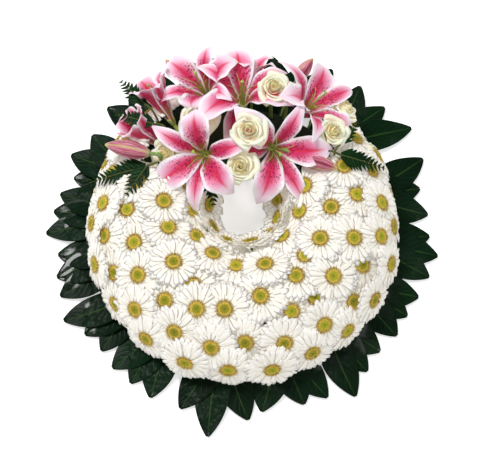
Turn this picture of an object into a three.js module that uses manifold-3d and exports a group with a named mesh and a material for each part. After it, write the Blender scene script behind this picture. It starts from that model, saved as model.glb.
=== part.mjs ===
// A funeral wreath lying flat: a ring of floral foam in a plastic tray, edged with sprigs of glossy leaves
// and massed with white gerberas, with a spray of pink lilies, lily buds, cream roses and fern at the back.
//
// Units are millimetres and +Z is up. The tray's underside is at Z = 0. The wreath is laid out round the ring's
// axis, and each piece is then moved so that the middle of the wreath's outline stands on the Z axis.
// A flower's place is told by its bearing and its lean. The bearing is in degrees round the ring from +X.
// The lean is in degrees round the ring's tube: 0 on the crest, positive outwards, negative inwards.
import * as THREE from "three";
import { mergeVertices } from "three/addons/utils/BufferGeometryUtils.js";
import Module from "manifold-3d";

const wasm = await Module();
wasm.setup();

// ---------- Driving dimensions ----------
const RING_RADIUS = 130; // centre line of the foam ring
const RING_CENTRE = [2.8, 6.5, 0]; // the ring's axis, seen from the middle of the wreath's outline
const TRAY = { halfWidth: 46, height: 18, wall: 2.5 };
const FOAM = { gap: 0.4, top: 62, shoulder: 34 };
// The flower faces lie on this half ellipse round the tube, which is broader towards the front.
const DOME = { width: 84, rise: 70, heart: 32, front: 16 };
const FINEST = 0.2; // facets that a cut leaves smaller than this are merged away
const GAP = 0.6; // clearance between pieces that press against each other
const RING_SIDES = 28;
const STEM = { knee: 18, spread: 24, foot: 36, bend: 0.4, steps: 4, sides: 5 };
const SKIRT_FLOOR = 27; // the lowest gerberas are pressed up to this height by the leaves under them
const BLOCK = 700; // side of the blocks that heads are cut back with, larger than the wreath
const GERBERA = { radius: 32, raised: 3, deep: 9, sides: 8, stem: 2.4, stemLength: 66 };
const LILY = { reach: 79, depth: 38, petal: 19.5, sepal: 12, thick: 1.8, pistil: 1.3, stem: 2.8 };
const ROSE = { radius: 22, height: 34, stem: 2.8 };
const BUD = { length: 66, radius: 12.5, stem: 2.6 };
const LEAF = { half: 23.5, thick: 1.4, root: 175, rootHeight: 24.2, tipHeight: 4, roll: 8, stem: 4.2 };
const FERN = { width: 1.4, thick: 1.6, stem: 1.6, second: 0.8 };

// ---------- Layout ----------
// White gerberas as [bearing, lean, extra radius]. Each line is one node: a clump of flowers that touch.
const GERBERA_CLUMPS = [
  [[10, 69, 1], [2, 45], [5, 18, 1], [21, 12], [357, -7, 1]],
  [[25, 68, 1], [41, 69, 1], [56, 68, 1], [17, 42], [33, 42]],
  [[71, 69, 1], [86, 68, 1], [101, 69, 1], [116, 68, 1]],
  [[131, 69, 1], [145, 68, 1], [158, 69, 1], [150, 46], [164, 44]],
  [[171, 67, 1], [184, 67, 1], [192, 47], [178, 46], [183, 19], [168, 12]],
  [[179, -15], [199, -16], [157, -34], [182, -45], [165, -66], [205, -68]],
  [[200, 70, 1], [217, 69, 1], [225, 51], [208, 49], [216, 28], [201, 18, 4]],
  [[234, 69, 2], [243, 45], [233, 27], [248, 20], [241, 3], [223, -3]],
  [[264, -29], [240, -33], [214, -38], [283, -60], [244, -62]],
  [[250, 69, 2], [265, 68, 2], [258, 47, 1], [271, 41, 1], [261, 14, 1]],
  [[280, 69, 2], [295, 67, 2], [286, 46, 1], [293, 23], [280, 3, 2]],
  [[304, -3], [333, -9], [318, -12], [289, -25], [322, -43]],
  [[310, 69, 1], [325, 68, 1], [318, 49], [303, 46], [306, 22], [319, 19]],
  [[340, 68, 1], [355, 69, 1], [347, 44], [332, 36], [341, 18]],
  [[18, -28], [355, -38], [22, -64], [318, -66], [352, -68]],
];

// Open lilies: centre of the mouth, the way it faces, turn about its own axis, how wide it is open, its size,
// and the number of the tepal that the rose beside it holds back. Sway turns each tepal out of its even place,
// in degrees, and stretch is its length beside the others of its kind.
const LILIES = [
  { name: "lily_front_left", at: [-59, 62, 121], facing: [-0.2, -0.44, 0.88], spin: 80, open: 1, size: 1,
    sway: [16, 7, 13, 1, -11, -11], stretch: [0.78, 0.95, 1.05, 1, 0.88, 0.95] },
  { name: "lily_front_right", at: [47, 66, 122], facing: [0.19, -0.55, 0.81], spin: 6, open: 1, size: 1.02,
    tucked: 3, sway: [0, 3, 10, 0, 9, -3], stretch: [0.94, 0.93, 1.03, 1, 0.96, 1.1] },
  { name: "lily_crown", at: [-1, 156, 131], facing: [0, 0.17, 0.985], spin: 92, open: 1, size: 1, tucked: 3,
    sway: [3, -6, 10, -24, 7, -5], stretch: [0.93, 0.95, 1.04, 1, 0.95, 0.88] },
  { name: "lily_right", at: [100, 143, 117], facing: [0.6, 0.17, 0.77], spin: 80, open: 0.95, size: 0.98 },
  { name: "lily_left", at: [-60, 172, 118], facing: [-0.32, 0.1, 0.94], spin: 20, open: 0.9, size: 0.86,
    stretch: [1, 1, 1, 1, 0.74, 1] },
  { name: "lily_far_left", at: [-119, 160, 95], facing: [-0.46, 0.6, 0.65], spin: 10, open: 0.5, size: 0.85 },
  { name: "lily_back", at: [3, 203, 84], facing: [0, 0.8, 0.6], spin: 30, open: 0.7, size: 0.9 },
  { name: "lily_side_left", at: [-138, 110, 93], facing: [-0.7, 0.3, 0.65], spin: 40, open: 0.5, size: 0.64 },
];
// Lily buds: the thick end, the way the tip points, its size, the bearing of its stem's foot.
const BUDS = [
  { name: "lily_bud_left", at: [-127, 66, 117], pointing: [-1, 0.24, -0.06], size: 0.97, foot: 150 },
  { name: "lily_bud_right", at: [71, 69, 108], pointing: [1, -0.4, 0.06], size: 0.95, foot: 42 },
  { name: "lily_bud_back_left", at: [-84, 187, 98], pointing: [-0.62, 0.66, 0.3], size: 0.6, foot: 114 },
  { name: "lily_bud_back_right", at: [76, 184, 102], pointing: [0.55, 0.66, 0.42], size: 0.6, foot: 68 },
];
// Roses: centre of the widest part, the way it faces, its size.
const ROSES = [
  { name: "rose_inner", at: [-4, 46, 118], facing: [0, -0.35, 0.93], size: 1.04 },
  { name: "rose_middle", at: [7, 86, 147], facing: [0.05, -0.3, 0.95], size: 1.1 },
  { name: "rose_left", at: [-106, 72, 102], facing: [-0.3, -0.25, 0.9], size: 0.98 },
  { name: "rose_upper_left", at: [-64, 116, 116], facing: [-0.1, -0.1, 1], size: 1.22 },
  { name: "rose_crown", at: [42, 152, 144], facing: [0.1, -0.2, 1], size: 1.05 },
  { name: "rose_right", at: [122, 97, 121], facing: [0.3, -0.2, 0.9], size: 1 },
  { name: "rose_far_right", at: [143, 148, 84], facing: [0.6, 0.45, 0.65], size: 0.96 },
  { name: "rose_small_right", at: [180, 94, 62], facing: [0.75, 0.4, 0.5], size: 0.7 },
  { name: "rose_small_east", at: [194, -26, 66], facing: [0.85, -0.15, 0.5], size: 0.65 },
];
// Fern fronds: foot of the leafy part, its tip and its half width, in the open above the flowers. Fork is the
// tip of a second frond from the same foot.
const FERNS = [
  { name: "fern_left", foot: [-132, 52, 105], tip: [-212, 36, 84], half: 24, fork: [-158, 10, 104] },
  { name: "fern_far_left", foot: [-124, 112, 114], tip: [-178, 130, 106], half: 17 },
  { name: "fern_upper_left", foot: [-138, 148, 104], tip: [-174, 186, 98], half: 18 },
  { name: "fern_right", foot: [134, 66, 112], tip: [196, 54, 92], half: 19 },
  { name: "fern_upper_right", foot: [136, 84, 114], tip: [160, 118, 106], half: 12 },
  { name: "fern_hole_left", foot: [-44, 40, 92], tip: [-40, 2, 86], half: 14 },
  { name: "fern_hole_right", foot: [84, 66, 90], tip: [63, 33, 98], half: 13 },
];
// Leaf sprigs, three leaves each, as the bearing and the reach of every leaf's tip.
const SPRIGS = [
  [[4, 269], [13, 266], [22, 287]],
  [[32, 297], [42, 287], [52, 289]],
  [[62, 290], [71, 277], [81, 282]],
  [[90, 287], [99, 280], [108, 284]],
  [[117, 276], [127, 282], [137, 280]],
  [[147, 268], [156, 279], [163, 260]],
  [[169, 272], [175, 276], [182, 284]],
  [[189, 268], [196, 275], [202, 278]],
  [[209, 287], [216, 272], [223, 268]],
  [[229, 274], [236, 275], [243, 278]],
  [[252, 276], [261, 304], [271.5, 278]],
  [[275.5, 268], [288, 270], [295, 273]],
  [[302, 290], [309, 272], [316, 264]],
  [[323, 268], [330, 266], [337, 269]],
  [[344, 275], [351, 282], [357, 269]],
];

// ---------- Making solids ----------
const radians = THREE.MathUtils.degToRad;
const UP = new THREE.Vector3(0, 0, 1);

/** A closed geometry as a manifold solid, with its poles merged and its faces out. */
function solidOf(geometry) {
  const loose = geometry.index ? geometry.toNonIndexed() : geometry;
  const bare = new THREE.BufferGeometry().setAttribute("position", loose.getAttribute("position"));
  const merged = mergeVertices(bare, 1e-3);
  const corners = [];
  for (let i = 0; i < merged.index.count; i += 3) {
    const [a, b, c] = merged.index.array.slice(i, i + 3);
    if (a !== b && b !== c && c !== a) corners.push(a, b, c);
  }
  const make = (triVerts) =>
    new wasm.Manifold(
      new wasm.Mesh({
        numProp: 3,
        vertProperties: merged.attributes.position.array,
        triVerts: new Uint32Array(triVerts),
      }),
    );
  const solid = make(corners);
  return solid.volume() < 0 ? make(corners.reverse()) : solid;
}

/** A manifold solid as a geometry that three.js can draw. */
function geometryOf(solid) {
  const mesh = solid.getMesh();
  const geometry = new THREE.BufferGeometry();
  geometry.setAttribute("position", new THREE.BufferAttribute(mesh.vertProperties, 3));
  geometry.setIndex(new THREE.BufferAttribute(mesh.triVerts, 1));
  geometry.computeVertexNormals();
  return geometry;
}

/** A profile of [radius, height] points, turned about the Z axis. */
function turned(profile, sides) {
  const points = profile.map(([radius, height]) => new THREE.Vector2(radius, height));
  return new THREE.LatheGeometry(points, sides).rotateX(Math.PI / 2);
}

/** A thin plate whose points are placed by shape(across -1..1, along 0..1, through -0.5..0.5). */
function shapedPlate(across, along, shape) {
  const plate = new THREE.BoxGeometry(2, 1, 1, across, along, 1);
  const points = plate.getAttribute("position");
  for (let i = 0; i < points.count; i++) {
    const place = shape(points.getX(i), points.getY(i) + 0.5, points.getZ(i));
    points.setXYZ(i, place.x, place.y, place.z);
  }
  return plate;
}

/** How far a plate's end is moved outwards to make the plate larger all round by a margin. */
const beyondEnds = (along, margin) => (along === 1 ? margin : along === 0 ? -margin : 0);

/** A stem of even thickness along a curve. */
function stemAlong(points, radius) {
  const { steps, sides } = STEM;
  const section = new THREE.Shape();
  for (let i = 0; i < sides; i++) {
    const angle = (2 * Math.PI * i) / sides;
    section[i ? "lineTo" : "moveTo"](radius * Math.cos(angle), radius * Math.sin(angle));
  }
  section.closePath();
  const path = new THREE.CatmullRomCurve3(points.map((p) => new THREE.Vector3(...p)));
  return new THREE.ExtrudeGeometry(section, { steps, extrudePath: path, bevelEnabled: false });
}

/** The matrix that puts a head made facing +Z at a place, facing a way, turned about its own axis. */
function facingMatrix(place, facing, spin = 0) {
  const way = new THREE.Vector3(...facing).normalize();
  const turn = new THREE.Quaternion().setFromUnitVectors(UP, way);
  const own = new THREE.Quaternion().setFromAxisAngle(UP, radians(spin));
  return new THREE.Matrix4().compose(
    new THREE.Vector3(...place),
    turn.multiply(own),
    new THREE.Vector3(1, 1, 1),
  );
}

/** The largest connected part of a solid. */
function mainPart(solid) {
  return solid.decompose().reduce((best, part) => (part.volume() > best.volume() ? part : best));
}

const joined = (solids) => solids.reduce((whole, solid) => whole.add(solid));

// ---------- The foam ring and its tray ----------
/** A shallow channel, bent round into a ring, open upwards. */
function trayProfile() {
  const { halfWidth, height, wall } = TRAY;
  const inner = RING_RADIUS - halfWidth;
  const outer = RING_RADIUS + halfWidth;
  return [
    [inner, 0], [outer, 0], [outer, height], [outer - wall, height], [outer - wall, wall],
    [inner + wall, wall], [inner + wall, height], [inner, height], [inner, 0],
  ];
}

/** A flat-bottomed ring with a rounded top, a loose fit in the tray. */
function foamProfile() {
  const half = TRAY.halfWidth - TRAY.wall - FOAM.gap;
  const bottom = TRAY.wall + GAP;
  const profile = [[RING_RADIUS - half, bottom], [RING_RADIUS + half, bottom]];
  const arcSteps = 5;
  for (let i = 0; i <= arcSteps; i++) {
    const angle = (Math.PI * i) / arcSteps;
    profile.push([
      RING_RADIUS + half * Math.cos(angle),
      FOAM.shoulder + (FOAM.top - FOAM.shoulder) * Math.sin(angle),
    ]);
  }
  profile.push(profile[0]);
  return profile;
}

// ---------- Gerberas ----------
/** Where a head on the dome sits, and the way it faces. */
function onDome(bearing, lean) {
  const around = radians(bearing);
  const over = radians(lean);
  const outward = Math.sin(over);
  const width = DOME.width + DOME.front * outward ** 2 * Math.max(0, -Math.sin(around));
  const reach = RING_RADIUS + width * outward;
  const facing = Math.sin(over * 0.94);
  return {
    at: [reach * Math.cos(around), reach * Math.sin(around), DOME.heart + DOME.rise * Math.cos(over)],
    facing: [facing * Math.cos(around), facing * Math.sin(around), Math.cos(over * 0.94)],
  };
}

/** A gerbera head: a low cone for the raised eye and the rays, over a deeper one for the green cup. */
function gerberaHead(radius) {
  return turned([[0, GERBERA.raised], [radius, 0], [0, -GERBERA.deep]], GERBERA.sides);
}

/** A straight stem under a head, from its cup down to its cut end. */
function gerberaStem(extra = 0) {
  const { stem, stemLength } = GERBERA;
  const radius = stem + extra;
  return turned([[0, 0], [radius, 0], [radius, -stemLength - extra], [0, -stemLength - extra]], 3);
}

/** A block that holds everything beyond a plane, to cut a head back with. */
function beyond(point, normal) {
  const block = new THREE.BoxGeometry(BLOCK, BLOCK, BLOCK).translate(0, 0, BLOCK / 2);
  return solidOf(block.applyMatrix4(facingMatrix(point.toArray(), normal.toArray())));
}

/** Every gerbera: its place, the way it faces, its radius, the number of its clump and its uncut head. */
const gerberas = GERBERA_CLUMPS.flatMap((clump, i) =>
  clump.map(([bearing, lean, bigger = 0]) => {
    const { at, facing } = onDome(bearing, lean);
    const radius = GERBERA.radius + bigger;
    const head = solidOf(gerberaHead(radius).applyMatrix4(facingMatrix(at, facing)));
    return { at, facing, radius, clump: i, head };
  }),
);

/** A head cut back at the plane midway to every head of another clump that it presses on. */
function cutByNeighbours(own) {
  const centre = new THREE.Vector3(...own.at);
  let cut = own.head;
  for (const other of gerberas) {
    if (other.clump === own.clump || own.head.intersect(other.head).isEmpty()) continue;
    const toOther = new THREE.Vector3(...other.at).sub(centre);
    const distance = toOther.length();
    const share = 0.5 + (own.radius ** 2 - other.radius ** 2) / (2 * distance ** 2);
    const normal = toOther.normalize();
    cut = cut.subtract(beyond(centre.clone().addScaledVector(normal, distance * share - GAP / 2), normal));
  }
  return mainPart(cut);
}

/** One gerbera, cut back by its neighbours and by the leaves below, on its stem. */
function gerbera(own) {
  const under = solidOf(new THREE.BoxGeometry(BLOCK, BLOCK, BLOCK).translate(0, 0, SKIRT_FLOOR - BLOCK / 2));
  const stem = solidOf(gerberaStem().applyMatrix4(facingMatrix(own.at, own.facing)));
  return cutByNeighbours(own).subtract(under).add(stem);
}

// ---------- Lilies ----------
/** The middle line of a tepal, as [distance from the flower's axis, height] of its four control points. */
function tepalSpine(length, open, tucked) {
  const { depth } = LILY;
  const close = 1 - open;
  const points = tucked
    ? [[3, -depth], [14, -22], [40, -26], [length * 0.8, -44]]
    : [[3, -depth], [14 * open + 2, 4], [50 * open, 24 + 30 * close], [length * open, 58 * close]];
  return new THREE.CubicBezierCurve(...points.map(([x, y]) => new THREE.Vector2(x, y)));
}

/** One tepal along a curve that climbs out of the throat, opens and rolls back at the tip. */
function tepal(spine, half, back, folds, extra) {
  const { thick } = LILY;
  return shapedPlate(folds, 4, (across, along, through) => {
    const way = spine.getTangent(along);
    const centre = spine.getPoint(along).addScaledVector(way, beyondEnds(along, extra));
    const side = across * (half * Math.sin(Math.PI * (0.05 + 0.93 * along) ** 1.4) + 1.2 + extra);
    const curl = folds > 1 ? (0.9 * side ** 2) / (2 * (centre.x + 4)) : 0;
    const lift = curl - back + through * (thick + 2 * extra);
    return new THREE.Vector3(centre.x - way.y * lift, side, centre.y + way.x * lift);
  });
}

/** Three broad petals over three narrow sepals, on a short tapered base, with the pistil in the middle. */
function lilyHead({ at, facing, spin, open, size, tucked, sway = [], stretch = [] }, extra = 0) {
  const place = facingMatrix(at, facing, spin);
  const { reach, depth, petal, sepal, thick, pistil } = LILY;
  const parts = [
    turned([[0, -depth + 9], [8 + extra, -depth + 5], [4 + extra, -depth - 6], [0, -depth - 6]], 6),
    turned([[0, 16 + extra], [pistil + extra, 16 + extra], [pistil + extra, -depth], [0, -depth]], 4),
  ];
  for (let i = 0; i < 6; i++) {
    const broad = i % 2 === 0;
    const half = (broad ? petal : sepal) * (0.4 + 0.6 * open);
    const [length, back, folds] = broad ? [reach, 0, 2] : [reach + 4, 1.6 * thick, 1];
    const spine = tepalSpine(length * size * (stretch[i] ?? 1), open, i === tucked);
    const blade = tepal(spine, half, back, folds, extra);
    parts.push(blade.rotateZ((Math.PI / 3) * i + radians(sway[i] ?? 0)));
  }
  return joined(parts.map((part) => solidOf(part.applyMatrix4(place))));
}

/** A stem from behind a head down into the foam, under the point it starts from. */
function footedStem(start, facing, bearing, radius, extra = 0) {
  const back = new THREE.Vector3(...facing).normalize().multiplyScalar(-STEM.knee);
  const around = radians(bearing);
  const startReach = Math.hypot(start[0], start[1]);
  const reach = THREE.MathUtils.clamp(startReach, RING_RADIUS - STEM.spread, RING_RADIUS + STEM.spread);
  const foot = new THREE.Vector3(reach * Math.cos(around), reach * Math.sin(around), STEM.foot - extra);
  const knee = new THREE.Vector3(...start).add(back);
  const above = foot.clone().lerp(knee, STEM.bend);
  const points = [start, knee.toArray(), above.toArray(), foot.toArray()];
  return stemAlong(points, radius + extra);
}

const bearingOf = ([x, y]) => THREE.MathUtils.radToDeg(Math.atan2(y, x));

/** The point a distance behind a place, against the way it faces. */
function behind(at, facing, distance) {
  const way = new THREE.Vector3(...facing).normalize();
  return new THREE.Vector3(...at).addScaledVector(way, -distance).toArray();
}

// ---------- Buds and roses ----------
/** A closed lily bud: a long spindle with six sides. */
function budHead({ at, pointing, size }, extra = 0) {
  const length = BUD.length * size;
  const radius = BUD.radius * (0.4 + 0.6 * size);
  const profile = [
    [0, -4 - extra], [4 + extra, -2], [radius * 0.75 + extra, length * 0.18], [radius + extra, length * 0.42],
    [radius * 0.82 + extra, length * 0.7], [radius * 0.36 + extra, length * 0.92], [0, length + extra],
  ];
  return solidOf(turned(profile, 8).applyMatrix4(facingMatrix(at, pointing)));
}

/** A half-open rose: a green hip, a full cup, and a swirl of petals that rises in the middle. */
function roseHead({ at, facing, size }, extra = 0) {
  const radius = ROSE.radius * size + extra;
  const height = ROSE.height * size;
  const profile = [
    [0, -height * 0.62 - extra], [5, -height * 0.6 - extra], [radius * 0.72, -height * 0.4], [radius, 0],
    [radius * 0.94, height * 0.26], [radius * 0.6, height * 0.35 + extra], [0, height * 0.42 + extra],
  ];
  return solidOf(turned(profile, 8).applyMatrix4(facingMatrix(at, facing)));
}

// ---------- Fern and leaf sprigs ----------
/** A fern frond: a flat blade with a saw edge from its foot to its tip. */
function frond(foot, tip, half, extra) {
  const start = new THREE.Vector3(...foot);
  const along = new THREE.Vector3(...tip).sub(start);
  const length = along.length();
  const leaflets = 6;
  const outline = new THREE.Shape();
  outline.moveTo(-0.8 - extra, -3 - extra);
  outline.lineTo(0.8 + extra, -3 - extra);
  const edge = (side) => {
    const points = [];
    for (let i = 0; i < leaflets; i++) {
      const share = i / leaflets;
      const reach = half * (1 - share) ** 0.8 * (i === 0 ? 0.75 : 1);
      points.push([side * (FERN.width + extra), length * (share + 0.02)]);
      points.push([side * (reach + extra), length * (share + 0.16 * (1 - share))]);
    }
    return points;
  };
  for (const [x, y] of edge(1)) outline.lineTo(x, y);
  outline.lineTo(0, length + extra);
  for (const [x, y] of edge(-1).reverse()) outline.lineTo(x, y);
  outline.closePath();
  const depth = FERN.thick + 2 * extra;
  const blade = new THREE.ExtrudeGeometry(outline, { depth, bevelEnabled: false });
  blade.translate(0, 0, -depth / 2);
  const y = along.clone().normalize();
  const x = new THREE.Vector3().crossVectors(y, UP).normalize();
  const z = new THREE.Vector3().crossVectors(x, y);
  return solidOf(blade.applyMatrix4(new THREE.Matrix4().makeBasis(x, y, z).setPosition(start)));
}

/** A fern's frond, with the second one beside it where it forks. */
function fernBlade({ foot, tip, half, fork }, extra = 0) {
  const first = frond(foot, tip, half, extra);
  return fork ? joined([first, frond(foot, fork, half * FERN.second, extra)]) : first;
}

/** One leaf: a blunt oval plate from the twig's end out to its tip, rolled like the blade of a fan. */
function leafBlade(twigBearing, [bearing, reach], below, extra) {
  const { half, root, tipHeight, thick, roll } = LEAF;
  const rootHeight = LEAF.rootHeight - below * 1.3 * thick;
  const base = new THREE.Vector2(root, 0).rotateAround(new THREE.Vector2(), radians(twigBearing));
  const tip = new THREE.Vector2(reach, 0).rotateAround(new THREE.Vector2(), radians(bearing));
  const way = tip.clone().sub(base);
  const length = way.length();
  const blade = shapedPlate(1, 4, (across, along, through) => {
    const side = across * (half * Math.sin(Math.PI * (0.03 + 0.93 * along) ** 1.1) + 1 + extra);
    const height =
      THREE.MathUtils.lerp(rootHeight, tipHeight, Math.sin((along * Math.PI) / 2)) +
      side * Math.sin(radians(roll)) * Math.sin(Math.PI * Math.min(along + 0.15, 1)) +
      (through + 0.5) * thick + 2 * extra * through;
    return new THREE.Vector3(length * along + beyondEnds(along, extra), side, height);
  });
  return blade.rotateZ(way.angle()).translate(base.x, base.y, 0);
}

/** A sprig: three leaves on one twig that is pushed into the foam's side just over the tray's wall. */
function leafSprig(tips, extra = 0) {
  const bearing = (tips[0][0] + tips[2][0]) / 2;
  const leaves = tips.map((tip, i) => leafBlade(bearing, tip, i, extra));
  const parts = [...leaves, twig(bearing, extra)];
  return joined(parts.map(solidOf));
}

/** The twig of a sprig: a short bar that holds the three leaves' bases, with its cut end in the foam. */
function twig(bearing, extra = 0) {
  const { root, rootHeight, thick, stem } = LEAF;
  const radius = stem + extra;
  return turned([[0, -26 - extra], [radius, -26 - extra], [radius, 1], [0, 1]], 4)
    .rotateZ(Math.PI / 4)
    .rotateY(Math.PI / 2)
    .translate(root, 0, rootHeight - 0.8 * thick)
    .rotateZ(radians(bearing));
}

// ---------- Materials ----------
const finish = (color, roughness) => new THREE.MeshStandardMaterial({ color, roughness, metalness: 0 });
const materials = {
  tray: finish(0x1d3b24, 0.45),
  foam: finish(0x3c6b34, 0.95),
  gerbera: finish(0xf6f4ea, 0.6),
  lily: finish(0xe58fae, 0.45),
  bud: finish(0xd8758a, 0.45),
  rose: finish(0xf3ecce, 0.55),
  fern: finish(0x17461d, 0.4),
  leaf: finish(0x0f2f18, 0.25),
};

// ---------- Assembly ----------
const wreath = new THREE.Group();

function addMesh(name, solid, material) {
  const mesh = new THREE.Mesh(geometryOf(solid.translate(RING_CENTRE)), material);
  mesh.name = name;
  wreath.add(mesh);
}

/** True where the boxes of two solids meet. */
function boxesMeet(a, b) {
  const one = a.boundingBox();
  const two = b.boundingBox();
  return [0, 1, 2].every((k) => one.min[k] < two.max[k] && two.min[k] < one.max[k]);
}

/** What is left of a solid once every keepout that it meets is cut out of it. */
function cleared(solid, keepouts) {
  const cut = keepouts.filter((k) => boxesMeet(solid, k)).reduce((rest, k) => rest.subtract(k), solid);
  return mainPart(cut.simplify(FINEST));
}

// Each showy piece: its name, its material, and its head and stem as functions of a margin all round, because
// the same solids a little larger clear its neighbours.
const showy = [
  ...LILIES.map((lily) => {
    const base = behind(lily.at, lily.facing, LILY.depth + 2);
    const stem = (extra) => solidOf(footedStem(base, lily.facing, bearingOf(lily.at), LILY.stem, extra));
    return { name: lily.name, material: materials.lily, head: (extra) => lilyHead(lily, extra), stem };
  }),
  ...ROSES.map((rose) => {
    const base = behind(rose.at, rose.facing, ROSE.height * rose.size * 0.5);
    const stem = (extra) => solidOf(footedStem(base, rose.facing, bearingOf(rose.at), ROSE.stem, extra));
    return { name: rose.name, material: materials.rose, head: (extra) => roseHead(rose, extra), stem };
  }),
  ...BUDS.map((bud) => {
    const stem = (extra) => solidOf(footedStem(bud.at, bud.pointing, bud.foot, BUD.stem, extra));
    return { name: bud.name, material: materials.bud, head: (extra) => budHead(bud, extra), stem };
  }),
  ...FERNS.map((fern) => {
    const facing = new THREE.Vector3(...fern.tip).sub(new THREE.Vector3(...fern.foot)).toArray();
    const stem = (extra) => solidOf(footedStem(fern.foot, facing, bearingOf(fern.foot), FERN.stem, extra));
    return { name: fern.name, material: materials.fern, head: (extra) => fernBlade(fern, extra), stem };
  }),
];

const keepouts = [];
for (const piece of showy) {
  const whole = piece.head(0).add(piece.stem(0));
  addMesh(piece.name, cleared(whole, keepouts), piece.material);
  keepouts.push(piece.head(GAP), piece.stem(GAP));
}

GERBERA_CLUMPS.forEach((clump, i) => {
  const name = `gerberas_${String(i + 1).padStart(2, "0")}`;
  const whole = joined(gerberas.filter((own) => own.clump === i).map(gerbera));
  addMesh(name, cleared(whole, keepouts), materials.gerbera);
});

const holes = [
  ...showy.map((piece) => piece.stem(GAP)),
  ...gerberas.map(({ at, facing }) => solidOf(gerberaStem(GAP).applyMatrix4(facingMatrix(at, facing)))),
];
const sprigKeepouts = [];
SPRIGS.forEach((tips, i) => {
  const name = `leaf_sprig_${String(i + 1).padStart(2, "0")}`;
  addMesh(name, cleared(leafSprig(tips), sprigKeepouts), materials.leaf);
  sprigKeepouts.push(leafSprig(tips, GAP));
  holes.push(solidOf(twig((tips[0][0] + tips[2][0]) / 2, GAP)));
});

const foam = solidOf(turned(foamProfile(), RING_SIDES));
addMesh("foam_ring", holes.reduce((rest, hole) => rest.subtract(hole), foam), materials.foam);
addMesh("tray", solidOf(turned(trayProfile(), RING_SIDES)), materials.tray);

export default wreath;
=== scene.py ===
"""The looks of a funeral wreath that lies flat: white gerberas on a foam ring edged with glossy leaves, with a
spray of pink lilies, lily buds, cream roses and fern at the back.

Shapes are worked out in millimetres and go into the meshes in metres. Every surface is a function of two
parameters: across runs from -1 to 1 over its width, and along runs from 0 at its foot to 1 at its tip."""
import math

import bmesh
import bpy
import numpy as np
from mathutils import Matrix


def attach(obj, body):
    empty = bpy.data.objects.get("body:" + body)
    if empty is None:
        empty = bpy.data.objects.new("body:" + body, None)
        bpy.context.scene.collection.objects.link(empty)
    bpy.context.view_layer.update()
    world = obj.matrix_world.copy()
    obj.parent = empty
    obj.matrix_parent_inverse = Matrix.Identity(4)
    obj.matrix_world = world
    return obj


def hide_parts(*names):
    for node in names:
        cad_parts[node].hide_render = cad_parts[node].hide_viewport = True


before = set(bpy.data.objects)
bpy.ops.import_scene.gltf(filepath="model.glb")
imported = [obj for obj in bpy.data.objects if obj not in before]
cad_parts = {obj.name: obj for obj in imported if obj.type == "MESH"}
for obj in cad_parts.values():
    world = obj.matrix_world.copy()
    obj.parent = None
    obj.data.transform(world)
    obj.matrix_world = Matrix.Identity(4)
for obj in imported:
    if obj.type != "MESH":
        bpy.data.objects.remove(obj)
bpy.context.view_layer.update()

MM = 0.001
GOLDEN_ANGLE = math.pi * (3 - math.sqrt(5))

# ---------- Sizes, in millimetres ----------
RING_RADIUS = 130.0  # centre line of the foam ring
RING_CENTRE = np.array([2.8, 6.5, 0.0])  # the ring's axis, seen from the middle of the wreath's outline
DOME = {"width": 84, "rise": 70, "heart": 32, "front": 16}
GERBERA = {"radius": 32, "eye": 9.4, "fringe": 14.2, "stem": 2.0, "stem_length": 66}
LILY = {"reach": 79, "depth": 38, "petal": 20.5, "sepal": 12.5, "thick": 1.1, "stem": 2.8}
ROSE = {"radius": 22, "height": 34, "stem": 2.8}
BUD = {"length": 66, "radius": 12.5, "stem": 2.6}
LEAF = {"half": 24.5, "thick": 0.9, "root": 175, "root_height": 24.9, "tip_height": 4.7, "roll": 8, "twig": 2.6}
FERN = {"thick": 0.5, "stem": 1.5, "pinna_half": 3.5, "spacing": 6.2, "second": 0.8}
STEM_FOOT = {"height": 36, "spread": 24}

# ---------- Layout, in millimetres and degrees ----------
# White gerberas as (bearing, lean, extra radius): one list for each clump.
GERBERA_CLUMPS = [
    [(10, 69, 1), (2, 45), (5, 18, 1), (21, 12), (357, -7, 1)],
    [(25, 68, 1), (41, 69, 1), (56, 68, 1), (17, 42), (33, 42)],
    [(71, 69, 1), (86, 68, 1), (101, 69, 1), (116, 68, 1)],
    [(131, 69, 1), (145, 68, 1), (158, 69, 1), (150, 46), (164, 44)],
    [(171, 67, 1), (184, 67, 1), (192, 47), (178, 46), (183, 19), (168, 12)],
    [(179, -15), (199, -16), (157, -34), (182, -45), (165, -66), (205, -68)],
    [(200, 70, 1), (217, 69, 1), (225, 51), (208, 49), (216, 28), (201, 18, 4)],
    [(234, 69, 2), (243, 45), (233, 27), (248, 20), (241, 3), (223, -3)],
    [(264, -29), (240, -33), (214, -38), (283, -60), (244, -62)],
    [(250, 69, 2), (265, 68, 2), (258, 47, 1), (271, 41, 1), (261, 14, 1)],
    [(280, 69, 2), (295, 67, 2), (286, 46, 1), (293, 23), (280, 3, 2)],
    [(304, -3), (333, -9), (318, -12), (289, -25), (322, -43)],
    [(310, 69, 1), (325, 68, 1), (318, 49), (303, 46), (306, 22), (319, 19)],
    [(340, 68, 1), (355, 69, 1), (347, 44), (332, 36), (341, 18)],
    [(18, -28), (355, -38), (22, -64), (318, -66), (352, -68)],
]
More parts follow.
